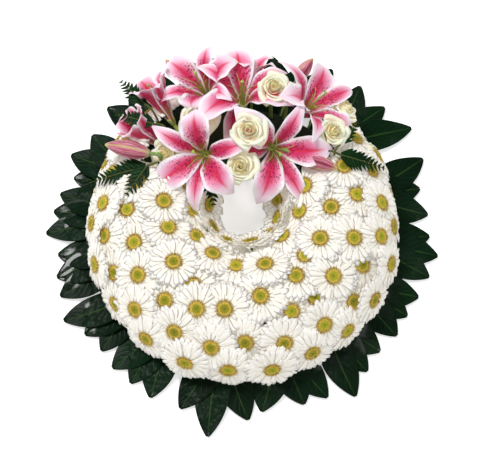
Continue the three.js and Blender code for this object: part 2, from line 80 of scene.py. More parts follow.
# Open lilies: name, centre of the mouth, the way it faces, turn about its axis, how wide open it is, its size,
# and the number of a tepal that the rose beside it holds back.
LILIES = [
    ("lily_front_left", (-59, 62, 121), (-0.2, -0.44, 0.88), 80, 1, 1, None),
    ("lily_front_right", (47, 66, 122), (0.19, -0.55, 0.81), 6, 1, 1.02, 3),
    ("lily_crown", (-1, 156, 131), (0, 0.17, 0.985), 92, 1, 1, 3),
    ("lily_right", (100, 143, 117), (0.6, 0.17, 0.77), 80, 0.95, 0.98, None),
    ("lily_left", (-60, 172, 118), (-0.32, 0.1, 0.94), 20, 0.9, 0.86, None),
    ("lily_far_left", (-119, 160, 95), (-0.46, 0.6, 0.65), 10, 0.5, 0.85, None),
    ("lily_back", (3, 203, 84), (0, 0.8, 0.6), 30, 0.7, 0.9, None),
    ("lily_side_left", (-138, 110, 93), (-0.7, 0.3, 0.65), 40, 0.5, 0.64, None),
]
# How far each tepal of a lily is turned out of its even place, in degrees, and its length beside its kind.
SWAY = {
    "lily_front_left": (16, 7, 13, 1, -11, -11),
    "lily_front_right": (0, 3, 10, 0, 9, -3),
    "lily_crown": (3, -6, 10, -24, 7, -5),
    "lily_right": (0, 0, 0, 0, 0, 8),
}
STRETCH = {
    "lily_front_left": (0.78, 0.95, 1.05, 1, 0.88, 0.95),
    "lily_front_right": (0.94, 0.93, 1.03, 1, 0.96, 1.1),
    "lily_crown": (0.93, 0.95, 1.04, 1, 0.95, 0.88),
    "lily_left": (1, 1, 1, 1, 0.74, 1),
    "lily_right": (1, 1, 1, 1, 1, 0.86),
}
# How far the tip of a tepal is bent down under a rose, or up over one where it is below 0, in millimetres.
BENT_DOWN = {"lily_front_right": (0, 0, 20, 0, 0, 0), "lily_right": (0, 0, 0, 0, 0, -16)}
# Lily buds: name, the thick end, the way the tip points, size, the bearing of the stem's foot.
BUDS = [
    ("lily_bud_left", (-127, 66, 117), (-1, 0.24, -0.06), 0.97, 150),
    ("lily_bud_right", (71, 69, 108), (1, -0.4, 0.06), 0.95, 42),
    ("lily_bud_back_left", (-84, 187, 98), (-0.62, 0.66, 0.3), 0.6, 114),
    ("lily_bud_back_right", (76, 184, 102), (0.55, 0.66, 0.42), 0.6, 68),
]
# Roses: name, centre of the widest part, the way it faces, size.
ROSES = [
    ("rose_inner", (-4, 46, 118), (0, -0.35, 0.93), 1.04),
    ("rose_middle", (7, 86, 147), (0.05, -0.3, 0.95), 1.1),
    ("rose_left", (-106, 72, 102), (-0.3, -0.25, 0.9), 0.98),
    ("rose_upper_left", (-64, 116, 116), (-0.1, -0.1, 1), 1.22),
    ("rose_crown", (42, 152, 144), (0.1, -0.2, 1), 1.05),
    ("rose_right", (122, 97, 121), (0.3, -0.2, 0.9), 1),
    ("rose_far_right", (143, 148, 84), (0.6, 0.45, 0.65), 0.96),
    ("rose_small_right", (180, 94, 62), (0.75, 0.4, 0.5), 0.7),
    ("rose_small_east", (194, -26, 66), (0.85, -0.15, 0.5), 0.65),
]
# Fern fronds: name, foot of the leafy part, its tip, its half width, and the tip of a second frond.
FERNS = [
    ("fern_left", (-132, 52, 105), (-212, 36, 84), 24, (-158, 10, 104)),
    ("fern_far_left", (-124, 112, 114), (-178, 130, 106), 17, None),
    ("fern_upper_left", (-138, 148, 104), (-174, 186, 98), 18, None),
    ("fern_right", (134, 66, 112), (196, 54, 92), 19, None),
    ("fern_upper_right", (136, 84, 114), (160, 118, 106), 12, None),
    ("fern_hole_left", (-44, 40, 92), (-40, 2, 86), 14, None),
    ("fern_hole_right", (84, 66, 90), (63, 33, 98), 13, None),
]
# Leaf sprigs: the bearing and the reach of each of their three tips.
SPRIGS = [
    [(4, 269), (13, 266), (22, 287)],
    [(32, 297), (42, 287), (52, 289)],
    [(62, 290), (71, 277), (81, 282)],
    [(90, 287), (99, 280), (108, 284)],
    [(117, 276), (127, 282), (137, 280)],
    [(147, 268), (156, 279), (163, 260)],
    [(169, 272), (175, 276), (182, 284)],
    [(189, 268), (196, 275), (202, 278)],
    [(209, 287), (216, 272), (223, 268)],
    [(229, 274), (236, 275), (243, 278)],
    [(252, 276), (261, 304), (271.5, 278)],
    [(275.5, 268), (288, 270), (295, 273)],
    [(302, 290), (309, 272), (316, 264)],
    [(323, 268), (330, 266), (337, 269)],
    [(344, 275), (351, 282), (357, 269)],
]
# What a point of a mesh belongs to, told to its material as the last number of its mark.
PETAL, EYE, GREEN = 0.0, 0.5, 1.0


# ---------- Shader formulas ----------
class Wire:
    """A shader socket that can stand in a formula: every operator on it adds one Math node."""

    def __init__(self, finish, socket):
        self.finish = finish
        self.socket = socket

    def maths(self, operation, *values):
        return self.finish.node("ShaderNodeMath", {"operation": operation}, dict(enumerate(values)))

    def __add__(self, other):
        return self.maths("ADD", self, other)

    def __radd__(self, other):
        return self.maths("ADD", other, self)

    def __sub__(self, other):
        return self.maths("SUBTRACT", self, other)

    def __rsub__(self, other):
        return self.maths("SUBTRACT", other, self)

    def __mul__(self, other):
        return self.maths("MULTIPLY", self, other)

    def __rmul__(self, other):
        return self.maths("MULTIPLY", other, self)

    def __truediv__(self, other):
        return self.maths("DIVIDE", self, other)

    def __pow__(self, other):
        return self.maths("POWER", self, other)

    def __abs__(self):
        return self.maths("ABSOLUTE", self)

    def wave(self):
        """Sine of the value, in radians."""
        return self.maths("SINE", self)

    def step(self, low, high):
        """0 below low, 1 above high and a smooth rise between; the other way round where high is below low."""
        ends = {1: low, 2: high, 3: 0.0, 4: 1.0}
        if high < low:
            ends = {1: high, 2: low, 3: 1.0, 4: 0.0}
        return self.finish.node("ShaderNodeMapRange", {"interpolation_type": "SMOOTHSTEP"}, {0: self, **ends})


class Finish:
    """A node tree of a new material or of the world, with one method that adds a node and gives its output back
    as a Wire."""

    def __init__(self, name, world=None):
        self.material = world or bpy.data.materials.new(name)
        self.material.use_nodes = True
        self.tree = self.material.node_tree
        self.surface = self.tree.nodes["Background" if world else "Principled BSDF"]

    def node(self, kind, settings=None, inputs=None, output=0):
        """A node of a kind: its settings are set first, then its inputs get values or links."""
        made = self.tree.nodes.new(kind)
        for name, value in (settings or {}).items():
            setattr(made, name, value)
        for key, value in (inputs or {}).items():
            self.feed(made.inputs[key], value)
        return Wire(self, made.outputs[output])

    def feed(self, socket, value):
        if isinstance(value, Wire):
            self.tree.links.new(value.socket, socket)
        else:
            socket.default_value = value

    def blend(self, share, first, second):
        """The first colour where share is 0, the second where it is 1."""
        ends = {0: share, 6: colour(first), 7: colour(second)}
        return self.node("ShaderNodeMix", {"data_type": "RGBA", "clamp_factor": True}, ends, output=2)

    def noise(self, scale, detail=3.0, place=None):
        """Cloudy noise from 0 to 1, in the object's own metres or at a place."""
        place = place or self.node("ShaderNodeTexCoord", output=3)
        return self.node("ShaderNodeTexNoise", {}, {"Vector": place, "Scale": scale, "Detail": detail})

    def mark(self):
        """The mark of the surface as wires: across from -1 to 1, along, tone, and what it belongs to."""
        mark = self.node("ShaderNodeAttribute", {"attribute_name": "mark"})
        split = {"Vector": Wire(self, mark.socket.node.outputs["Vector"])}
        parts = self.node("ShaderNodeSeparateXYZ", {}, split).socket.node.outputs
        kind = Wire(self, mark.socket.node.outputs["Alpha"])
        return Wire(self, parts[0]) * 2 - 1, Wire(self, parts[1]), Wire(self, parts[2]), kind

    def place(self, x, y, z=0.0):
        """A point made of three values, to look a pattern up at."""
        return self.node("ShaderNodeCombineXYZ", {}, {0: x, 1: y, 2: z})

    def bump(self, height, distance, strength=1.0):
        """A normal that tilts with a height from 0 to 1 that is worth a distance in millimetres."""
        values = {"Strength": strength, "Distance": distance * MM, "Height": height}
        return self.node("ShaderNodeBump", {}, values)

    def set(self, **values):
        """Feeds the surface's sockets, named with _ for a space."""
        for name, value in values.items():
            self.feed(self.surface.inputs[name.replace("_", " ")], value)
        return self.material


def colour(value):
    """A colour as four numbers, or a wire as it is."""
    return value if isinstance(value, Wire) else (*value, 1.0)


def green_tissue(finish, pale, dark):
    """Stem green: fine lengthwise streaks between a pale and a dark green."""
    return finish.blend(finish.noise(260.0), dark, pale)


def gerbera_finish():
    """White rays with fine ribs, cream at the foot, and a faint painted glow that lightens their shade; a golden-brown
    eye with a green middle; green stems.
    """
    finish = Finish("gerbera")
    across, along, tone, kind = finish.mark()
    ribs = (across * 8.0).wave() * 0.5 + 0.5
    cloud = finish.noise(90.0)
    is_eye = kind.step(0.2, 0.3)
    is_green = kind.step(0.7, 0.8)
    white = finish.blend(along.step(0.0, 0.34), (0.76, 0.68, 0.4), (0.9, 0.86, 0.76))
    white = finish.blend(along.step(0.3, 0.9), white, (0.93, 0.91, 0.87))
    white = finish.blend(ribs * 0.12 + cloud * 0.1 + tone * 0.16, white, (0.72, 0.69, 0.62))
    fuzz = finish.noise(700.0, 2.0)
    rim = finish.blend(fuzz.step(0.3, 0.6), (0.4, 0.22, 0.04), (0.8, 0.6, 0.2))
    ring = finish.blend(fuzz.step(0.3, 0.7), (0.48, 0.29, 0.02), (0.82, 0.62, 0.13))
    middle = finish.blend(tone * 0.8, (0.5, 0.5, 0.03), (0.26, 0.22, 0.02))
    middle = finish.blend(fuzz.step(0.7, 0.3) * 0.5, middle, (0.12, 0.14, 0.008))
    eye = finish.blend(along.step(0.32, 0.56), middle, ring)
    eye = finish.blend(along.step(0.76, 0.95) * tone, eye, rim)
    eye = finish.blend(along.step(0.2, 0.04) * 0.6, eye, (0.12, 0.13, 0.01))
    flower = finish.blend(is_eye, white, eye)
    skin = finish.blend(is_green, flower, green_tissue(finish, (0.3, 0.42, 0.12), (0.12, 0.24, 0.05)))
    # Painted light: the rays, not the eye or the green parts, glow a faint warm white that lifts their shade.
    ray_painted_glow = finish.blend(is_eye, (0.9, 0.86, 0.76), (0.0, 0.0, 0.0))
    return finish.set(
        Base_Color=skin,
        Roughness=is_eye * 0.25 + cloud * 0.1 + 0.55,
        Normal=finish.bump(ribs * 0.6 + fuzz * is_eye, 0.3),
        Emission_Color=ray_painted_glow,
        Emission_Strength=0.14,
        Specular_IOR_Level=0.2,
    )


def lily_finish():
    """Pink tepals with pale lilac wavy margins, a red stripe down the middle, dark freckles and a green
    throat."""
    finish = Finish("lily")
    across, along, tone, kind = finish.mark()
    width = abs(across)
    cloud = finish.noise(70.0)
    streaks = finish.noise(1.0, 4.0, finish.place(across * 16.0, along * 2.5, tone * 9.0))
    heart = (0.9 - width + streaks * 0.35 + tone * 0.24) * along.step(1.06, 0.35)
    pink = finish.blend(heart.step(0.1, 0.6), (0.88, 0.7, 0.79), (0.79, 0.25, 0.41))
    pink = finish.blend(heart.step(0.44, 0.92), pink, (0.64, 0.03, 0.13))
    margin = (width + cloud * 0.2 - 0.1).step(0.66, 0.92)
    pink = finish.blend(margin * 0.9, pink, (0.92, 0.84, 0.89))
    stripe = (width + streaks * 0.1).step(0.24, 0.04) * along.step(0.1, 0.28) * along.step(0.96, 0.6)
    pink = finish.blend(stripe * 0.9, pink, (0.66, 0.02, 0.06))
    spot_place = finish.place(across * 5.0, along * 16.0, tone * 7.0)
    spots = finish.node("ShaderNodeTexVoronoi", {}, {"Vector": spot_place, "Scale": 1.4})
    freckled = along.step(0.12, 0.22) * along.step(0.7, 0.4) * width.step(0.95, 0.65)
    freckle = spots.step(0.42, 0.3) * freckled
    pink = finish.blend(freckle * 0.9, pink, (0.26, 0.001, 0.04))
    throat = along.step(0.3, 0.12) * width.step(0.9, 0.1)
    pink = finish.blend(throat * 0.9, pink, (0.26, 0.22, 0.03))
    skin = finish.blend(kind.step(0.7, 0.8), pink, green_tissue(finish, (0.5, 0.56, 0.14), (0.22, 0.36, 0.05)))
    relief = freckle * 0.9 + streaks * 0.4 - stripe * 0.5
    return finish.set(
        Base_Color=skin,
        Roughness=cloud * 0.15 + 0.4,
        Normal=finish.bump(relief, 0.6),
        # Painted light: the whole surface glows faintly in its own colour, which brightens the shaded tepals.
        Emission_Color=skin,
        Emission_Strength=0.07,
        Subsurface_Weight=0.15,
        Subsurface_Scale=0.003,
        Specular_IOR_Level=0.35,
    )


def bud_finish():
    """Salmon-pink closed tepals with green-yellow ridges and tip."""
    finish = Finish("lily_bud")
    across, along, tone, kind = finish.mark()
    ridge = (across * (3 * math.pi)).wave() * 0.5 + 0.5
    cloud = finish.noise(1.0, 4.0, finish.place(across * 30.0, along * 3.0, tone))
    skin = finish.blend(cloud.step(0.3, 0.7), (0.36, 0.03, 0.08), (0.8, 0.33, 0.42))
    skin = finish.blend(ridge.step(0.94, 1.0) * 0.8, skin, (0.6, 0.55, 0.2))
    skin = finish.blend(ridge.step(0.2, 0.0) * 0.8, skin, (0.24, 0.015, 0.05))
    skin = finish.blend(along.step(0.86, 1.0) * 0.8, skin, (0.6, 0.58, 0.14))
    skin = finish.blend(along.step(0.16, 0.0) * 0.7, skin, (0.45, 0.5, 0.2))
    skin = finish.blend(kind.step(0.7, 0.8), skin, green_tissue(finish, (0.32, 0.45, 0.13), (0.14, 0.26, 0.05)))
    return finish.set(
        Base_Color=skin,
        Roughness=cloud * 0.15 + 0.32,
        Normal=finish.bump(ridge * 0.7 + cloud * 0.3, 0.5),
        Subsurface_Weight=0.1,
        Subsurface_Scale=0.004,
    )


def rose_finish():
    """Cream petals, whiter at the rim and yellow-green in the heart, with faint veins."""
    finish = Finish("rose")
    across, along, tone, kind = finish.mark()
    veins = finish.noise(1.0, 3.0, finish.place(across * 14.0, along * 3.0, tone * 11.0))
    cloud = finish.noise(120.0)
    heart = finish.blend(along.step(0.3, 1.0), (0.8, 0.68, 0.2), (0.9, 0.83, 0.5))
    outer = finish.blend(along.step(0.1, 0.7), (0.84, 0.79, 0.46), (0.92, 0.88, 0.74))
    skin = finish.blend(tone.step(0.1, 0.6), heart, outer)
    skin = finish.blend(veins * 0.16 + cloud * 0.08, skin, (0.84, 0.76, 0.5))
    skin = finish.blend(kind.step(0.7, 0.8), skin, green_tissue(finish, (0.25, 0.4, 0.1), (0.08, 0.2, 0.04)))
    return finish.set(
        Base_Color=skin,
        Roughness=cloud * 0.12 + 0.48,
        Normal=finish.bump(veins, 0.2),
        # Painted light: the petals glow a faint cream that lifts their shade; the green parts do not glow.
        Emission_Color=finish.blend(kind.step(0.7, 0.8), (0.9, 0.78, 0.5), (0.0, 0.0, 0.0)),
        Emission_Strength=0.12,
        Subsurface_Weight=0.3,
        Subsurface_Scale=0.005,
    )


def leaf_finish():
    """Dark waxy green with a pale midrib, side veins that run forwards, and small drops of water."""
    finish = Finish("leaf")
    across, along, tone, kind = finish.mark()
    width = abs(across)
    cloud = finish.noise(40.0)
    veins = ((along * 62.0 - width * 17.0).wave() * 0.5 + 0.5) ** 6.0 * width.step(1.0, 0.6)
    midrib = width.step(0.075, 0.02)
    skin = finish.blend(cloud * 0.6 + tone * 0.4, (0.0006, 0.004, 0.0015), (0.004, 0.024, 0.007))
    skin = finish.blend(veins * 0.16, skin, (0.014, 0.045, 0.014))
    skin = finish.blend(midrib * 0.5, skin, (0.04, 0.1, 0.02))
    skin = finish.blend(kind.step(0.7, 0.8), skin, (0.09, 0.07, 0.04))
    own_place = finish.node("ShaderNodeTexCoord", output=3)
    drops = finish.node("ShaderNodeTexVoronoi", {}, {"Vector": own_place, "Scale": 230.0})
    damp = finish.noise(20.0).step(0.48, 0.58)
    wet = drops.step(0.32, 0.1) * damp
    relief = 0.5 - veins * 0.3 - midrib * 0.5 + cloud * 0.4 + wet + finish.noise(110.0, 1.0) * damp * 4.0
    return finish.set(
        Base_Color=skin,
        Roughness=cloud * 0.16 + 0.28 - wet * 0.2,
        Normal=finish.bump(relief, 0.6),
        Specular_IOR_Level=0.07,
        Coat_Weight=damp * 0.3,
        Coat_Roughness=0.07,
    )


def fern_finish():
    """Dark green leaflets with a paler rib, and a brown-green stalk."""
    finish = Finish("fern")
    across, along, tone, kind = finish.mark()
    width = abs(across)
    cloud = finish.noise(150.0)
    skin = finish.blend(cloud * 0.5 + tone * 0.5, (0.001, 0.01, 0.002), (0.008, 0.045, 0.009))
    skin = finish.blend(width.step(0.16, 0.03) * 0.5, skin, (0.03, 0.1, 0.02))
    skin = finish.blend(kind.step(0.7, 0.8), skin, (0.1, 0.12, 0.035))
    return finish.set(
        Base_Color=skin,
        Roughness=cloud * 0.2 + 0.35,
        Normal=finish.bump(cloud - width.step(0.2, 0.0) * 0.5, 0.25),
        Specular_IOR_Level=0.1,
    )


def foam_finish():
    """Soaked green floral foam: fine open cells with painted shade in their hollows, and darker wet patches."""
    finish = Finish("floral_foam")
    cells = finish.node("ShaderNodeTexVoronoi", {}, {"Scale": 1400.0, "Vector": finish.node("ShaderNodeTexCoord", output=3)})
    patches = finish.noise(35.0)
    skin = finish.blend(patches, (0.006, 0.022, 0.007), (0.018, 0.055, 0.016))
    # Painted shade: the hollows of the cells, which the bump sinks, are painted darker.
    skin = finish.blend(cells.step(0.5, 0.1) * 0.5, skin, (0.004, 0.012, 0.004))
    return finish.set(Base_Color=skin, Roughness=patches * 0.2 + 0.7, Normal=finish.bump(cells, 0.4))


def tray_finish():
    """Dark green moulded plastic with a fine sparkle of moulding grain and rubbed patches."""
    finish = Finish("tray_plastic")
    grain = finish.noise(1200.0)
    rubbed = finish.noise(30.0)
    skin = finish.blend(rubbed, (0.008, 0.03, 0.014), (0.02, 0.055, 0.028))
    return finish.set(Base_Color=skin, Roughness=rubbed * 0.25 + 0.3, Normal=finish.bump(grain, 0.06))


# ---------- Placing ----------
def unit(vectors):
    """Vectors made one long."""
    vectors = np.asarray(vectors, float)
    return vectors / np.linalg.norm(vectors, axis=-1, keepdims=True)


def turn_to(facing, spin=0.0):
    """The shortest turn that brings +Z to facing, after a spin in degrees about +Z: with k the matrix that
    crosses with Z x facing, it is 1 + k + k squared / (1 + facing's Z), times the spin."""
    x, y, z = unit(facing)
    k = np.array([[0, 0, x], [0, 0, y], [-x, -y, 0]])
    turn = np.eye(3) + k + k @ k / (1 + z)
    c, s = math.cos(math.radians(spin)), math.sin(math.radians(spin))
    return turn @ np.array([[c, -s, 0], [s, c, 0], [0, 0, 1]])


def placed(points, at, facing, spin=0.0):
    """Points made round the origin facing +Z, set at a place and turned to face a way."""
    return points @ turn_to(facing, spin).T + np.asarray(at, float)


def on_dome(bearing, lean):
    """A gerbera's place on the half ellipse round the ring's tube, which is broader towards the front, and the
    way it faces."""
    around, over = math.radians(bearing), math.radians(lean)
    outward = math.sin(over)
    reach = RING_RADIUS + outward * (DOME["width"] + DOME["front"] * outward**2 * max(0, -math.sin(around)))
    tilt = over * 0.94
    at = (reach * math.cos(around), reach * math.sin(around), DOME["heart"] + DOME["rise"] * math.cos(over))
    facing = (math.sin(tilt) * math.cos(around), math.sin(tilt) * math.sin(around), math.cos(tilt))
    return np.array(at), np.array(facing)


# ---------- Surfaces ----------
class Piece:
    """One mesh gathered from batches of closed grids. Each point has a mark of four numbers: across and along
    the surface it is on, the tone of that surface, and what it belongs to."""

    def __init__(self, name, nodes, slot, material):
        self.name, self.nodes, self.slot, self.material = name, nodes, slot, material
        self.points, self.marks, self.faces, self.count = [], [], [], 0

    def add(self, points, across, along, tone=0.5, kind=PETAL):
        """Adds grids of shape (..., rows, columns, 3) whose columns run all the way round. Both ends are
        closed by a point in the middle of the end row."""
        shape = points.shape[:-1]
        values = (np.broadcast_to(v, shape) for v in ((np.asarray(across) + 1) / 2, along, tone, kind))
        marks = np.stack([*values], axis=-1)
        points, marks = (self.with_ends(grid) for grid in (points, marks))
        rows, columns = points.shape[-3:-1]
        batches = int(np.prod(points.shape[:-3]))
        row = np.arange(rows - 1)[:, None] * columns
        column = np.arange(columns)[None, :]
        following = (column + 1) % columns
        quads = np.stack([row + column, row + following, row + columns + following, row + columns + column], -1)
        starts = self.count + np.arange(batches)[:, None, None] * rows * columns
        self.faces.append((quads.reshape(1, -1, 4) + starts).reshape(-1, 4))
        self.points.append(points.reshape(-1, 3))
        self.marks.append(marks.reshape(-1, 4))
        self.count += batches * rows * columns

    @staticmethod
    def with_ends(grid):
        """The grid with a row added at each end, all of it at the mean of the end row."""
        first = np.broadcast_to(grid[..., :1, :, :].mean(axis=-2, keepdims=True), grid[..., :1, :, :].shape)
        last = np.broadcast_to(grid[..., -1:, :, :].mean(axis=-2, keepdims=True), grid[..., -1:, :, :].shape)
        return np.concatenate([first, grid, last], axis=-3)

    def finish(self):
        """Makes the object: faces out, end rows merged to a point, smooth, riding on the wreath."""
        points = (np.concatenate(self.points) + RING_CENTRE) * MM
        faces = np.concatenate(self.faces)
        a, b, c, d = (points[faces[:, i]] for i in range(4))
        volume = (np.cross(a, b) * c).sum() + (np.cross(a, c) * d).sum()
        if volume < 0:
            faces = faces[:, ::-1]
        mesh = bpy.data.meshes.new(self.name)
        mesh.vertices.add(len(points))
        mesh.vertices.foreach_set("co", points.ravel())
        mesh.loops.add(faces.size)
        mesh.loops.foreach_set("vertex_index", faces.ravel().astype(np.int32))
        mesh.polygons.add(len(faces))
        mesh.polygons.foreach_set("loop_start", np.arange(0, faces.size, 4, dtype=np.int32))
        marks = mesh.attributes.new("mark", "FLOAT_COLOR", "POINT")
        marks.data.foreach_set("color", np.concatenate(self.marks).ravel())
        mesh.update(calc_edges=True)
        merged = bmesh.new()
        merged.from_mesh(mesh)
        bmesh.ops.remove_doubles(merged, verts=merged.verts, dist=1e-6)
        merged.to_mesh(mesh)
        merged.free()
        mesh.polygons.foreach_set("use_smooth", np.ones(len(mesh.polygons), bool))
        mesh.materials.append(self.material)
        shown = bpy.data.objects.new(self.name, mesh)
        bpy.context.scene.collection.objects.link(shown)
        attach(shown, "root")
        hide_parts(*self.nodes)
        return shown


def blade(surface, rows, around, thick):
    """A closed leaf of tissue round a middle surface. Round its section the angle a runs from 0 to a full
    turn: across is cos a, and the point stands off the middle surface along its normal by half the
    thickness times sin a. Gives the points, across and along."""
    along = np.linspace(0, 1, rows)[:, None]
    angle = np.linspace(0, 2 * np.pi, around, endpoint=False)[None, :]
    across = np.cos(angle)
    small = 1e-3
    width_way = surface(across + small, along) - surface(across - small, along)
    length_way = surface(across, along + small) - surface(across, along - small)
    normal = unit(np.cross(width_way, length_way))
    return surface(across, along) + normal * (thick / 2 * np.sin(angle))[..., None], across, along


def through_points(points, steps):
    """A smooth path through points: on each span a cubic that leaves and arrives along the line between the
    neighbours of its ends (a Catmull-Rom curve)."""
    points = np.asarray(points, float)
    padded = np.concatenate([2 * points[:1] - points[1:2], points, 2 * points[-1:] - points[-2:-1]])
    share = np.linspace(0, len(points) - 1 - 1e-9, steps)
    span = share.astype(int)
    t = (share - span)[:, None]
    p0, p1, p2, p3 = (padded[span + i] for i in range(4))
    rise = (p2 - p0) * t
    bend = (2 * p0 - 5 * p1 + 4 * p2 - p3) * t**2
    end = (3 * p1 - p0 - 3 * p2 + p3) * t**3
    return p1 + 0.5 * (rise + bend + end)


def tube(path, radius, sides=8):
    """A round stem: each ring is the path's point plus radius times (cos a, sin a) on two axes square to the
    path. Gives the points, across and along."""
    way = unit(np.gradient(path, axis=0))
    level = np.array([1.0, 0, 0]) if abs(way[:, 0].mean()) < 0.8 else np.array([0, 1.0, 0])
    side = unit(np.cross(way, level))
    up = np.cross(side, way)
    angle = np.linspace(0, 2 * np.pi, sides, endpoint=False)
    ring = np.cos(angle)[None, :, None] * side[:, None] + np.sin(angle)[None, :, None] * up[:, None]
    size = np.broadcast_to(radius, len(path))[:, None, None]
    along = np.linspace(0, 1, len(path))[:, None]
    return path[:, None] + ring * size, np.cos(angle)[None, :], along


def turned(profile, sides):
    """A profile of (radius, height) points carried round the Z axis: (r cos a, r sin a, h)."""
    profile = np.asarray(profile, float)
    angle = np.linspace(0, 2 * np.pi, sides, endpoint=False)[None, :]
    radius, height = profile[:, :1], profile[:, 1:]
    points = np.stack(np.broadcast_arrays(radius * np.cos(angle), radius * np.sin(angle), height), -1)
    return points, np.cos(angle), np.linspace(0, 1, len(profile))[:, None]


def footed_stem(piece, start, facing, bearing, radius):
    """A stem from behind a head, bent down into the foam at a bearing."""
    start = np.asarray(start, float)
    reach = np.clip(np.hypot(*start[:2]), RING_RADIUS - STEM_FOOT["spread"], RING_RADIUS + STEM_FOOT["spread"])
    around = math.radians(bearing)
    foot = np.array([reach * math.cos(around), reach * math.sin(around), STEM_FOOT["height"]])
    knee = start - unit(facing) * 18
    above = foot + (knee - foot) * 0.4
    piece.add(*tube(through_points([start, knee, above, foot], 14), radius), kind=GREEN)


def bearing_of(point):
    return math.degrees(math.atan2(point[1], point[0]))


# ---------- Gerberas ----------
def gerbera_heads():
    """Every gerbera as a record of its place, facing, radius and clump, the level at which it lies over its
    neighbours, from 0 to 3, and how far its rays close in front of it, as they do round the hole. A head is
    moved out along its facing by its level."""
    heads = []
    for clump, flowers in enumerate(GERBERA_CLUMPS):
        for order, (bearing, lean, *bigger) in enumerate(flowers):
            at, facing = on_dome(bearing, lean)
            level = (clump * 3 + order * 2) % 4
            heads.append(
                {
                    "at": at + facing * (level * 1.5 - 2.5),
                    "facing": facing,
                    "radius": GERBERA["radius"] + (bigger[0] if bigger else 0),
                    "clump": clump,
                    "level": level,
                    "closing": 7 if lean < -55 else 0,
                }
            )
    return heads


def showy_crowders():
    """The roses, buds and open lilies as things that press gerbera rays down: a place and a radius."""
    crowders = [{"at": np.array(at, float), "radius": ROSE["radius"] * size} for name, at, facing, size in ROSES]
    for name, at, pointing, size, foot in BUDS:
        middle = np.array(at) + unit(pointing) * BUD["length"] * size * 0.5
        crowders.append({"at": middle, "radius": BUD["radius"] * 1.8 * size})
    for name, at, facing, spin, wide, size, tucked in LILIES:
        crowders.append({"at": np.array(at) - unit(facing) * 14, "radius": 34 * size})
    return crowders


def pressed(head, heads, crowders, tips):
    """How far each ray is pushed along the way its head faces. For every neighbour it is a share of the
    length by which the tip passes the plane midway between the two: up if this head lies higher, down if it
    lies lower, and well down under a rose, a bud or a lily."""
    push = np.zeros(len(tips))
    for other in heads + crowders:
        apart = other["at"] - head["at"]
        distance = np.linalg.norm(apart)
        if other is head or distance > head["radius"] + other["radius"] + 6:
            continue
        beyond = np.clip(tips @ (apart / distance) - distance / 2, 0, None)
        level = other.get("level", 9)
        push += beyond * (0.14 if head["level"] > level else -0.9 if level == 9 else -0.5)
    return np.clip(push, -14, 4) + head["closing"]


def rays(piece, head, press, random, count, length, width, height, cup):
    """One ring of strap-shaped rays. Along a ray the radius grows evenly and the half width rises from a
    narrow foot to a broad, rounded tip with two notches. The height is an arch less a droop at the tip. Across
    it the blade is a little rounded, and every second ray lies higher, so the straps overlap cleanly."""
    foot = GERBERA["eye"] * 0.9
    shape = (count, 1, 1)
    number = np.arange(count).reshape(shape)
    angle = (number + random.uniform(-0.18, 0.18, shape)) * 2 * np.pi / count
    long = length * random.uniform(0.94, 1.03, shape)
    droop = random.uniform(0.8, 3.4, shape)
    tilt = random.uniform(-0.14, 0.14, shape)
    sway = random.uniform(-0.04, 0.04, shape)
    level = height + 0.7 * (number % 2)
    flat_tips = np.stack([np.cos(angle) * long, np.sin(angle) * long, 0 * angle], -1).reshape(-1, 3)
    push = press(flat_tips @ turn_to(head["facing"]).T).reshape(shape)

    def surface(across, along):
        notch = 0.03 * along**6 * (np.cos(across * 6.3) + 1)
        radius = foot + (long - foot) * along * (1 - notch) - 0.6 * along**8 * across**2
        half = width * (0.5 + 0.5 * np.clip(along * 1.4, 0, 1) ** 0.8) * np.sqrt(1 - 0.62 * along**9)
        side = across * half
        bearing = angle + sway * along**2
        arch = level * np.clip(along * 4 + 0.2, 0, 1) + cup * np.sin(np.pi * along * 0.85)
        lift = arch + (push - droop) * along**2 + side * tilt * along - 0.03 * side**2
        x = radius * np.cos(bearing) - side * np.sin(bearing)
        y = radius * np.sin(bearing) + side * np.cos(bearing)
        return np.stack(np.broadcast_arrays(x, y, lift), -1)

    points, across, along = blade(surface, 6, 6, 0.4)
    tone = random.uniform(0, 1, shape)
    piece.add(placed(points, head["at"], head["facing"]), across, along, tone)


def eye_of(piece, head, random):
    """The eye: a low dome whose height is roughened by two crossed waves, then three rings of short pointed
    florets that stand up round it and lean out, longer in every ring."""
    eye, fringe = GERBERA["eye"], GERBERA["fringe"]
    share = np.linspace(0.04, 1, 9)[:, None]
    angle = np.linspace(0, 2 * np.pi, 22, endpoint=False)[None, :]
    rough = 0.4 * np.sin(angle * 11 + share * 40) * share
    height = 3.2 + 1.4 * np.cos(share * np.pi / 2) - 1.2 * np.exp(-((share / 0.35) ** 2)) + rough
    dome = np.stack(np.broadcast_arrays(eye * share * np.cos(angle), eye * share * np.sin(angle), height), -1)
    under = dome[-1:] * np.array([1, 1, 0]) + np.array([0, 0, -1.0])
    points = np.concatenate([dome, under])
    radius = np.concatenate([share, share[-1:]]) * eye / fringe
    piece.add(placed(points, head["at"], head["facing"]), 0.0, radius, random.uniform(0, 1), kind=EYE)
    for ring, count in enumerate((30, 36, 42)):
        shape = (count, 1, 1)
        bearing = (np.arange(count).reshape(shape) + random.uniform(-0.4, 0.4, shape)) * 2 * np.pi / count
        foot = eye + (ring - 0.7) * 1.3 + random.uniform(-0.4, 0.4, shape)
        reach = random.uniform(1.2, 2.6, shape)
        rise = random.uniform(0.9, 2.4, shape)
        along = np.array([0.0, 0.6, 1.0])[:, None]
        section = np.linspace(0, 2 * np.pi, 3, endpoint=False)[None, :]
        thick = 0.75 * (1 - 0.7 * along)
        radial = foot + reach * along + thick * np.cos(section)
        side = thick * np.sin(section)
        x = radial * np.cos(bearing) - side * np.sin(bearing)
        y = radial * np.sin(bearing) + side * np.cos(bearing)
        z = 3.4 - 0.4 * ring + rise * along + thick * np.cos(section)
        spikes = np.stack(np.broadcast_arrays(x, y, z), -1)
        tone = random.uniform(0, 1, shape)
        piece.add(placed(spikes, head["at"], head["facing"]), 0.0, radial / fringe, tone, kind=EYE)


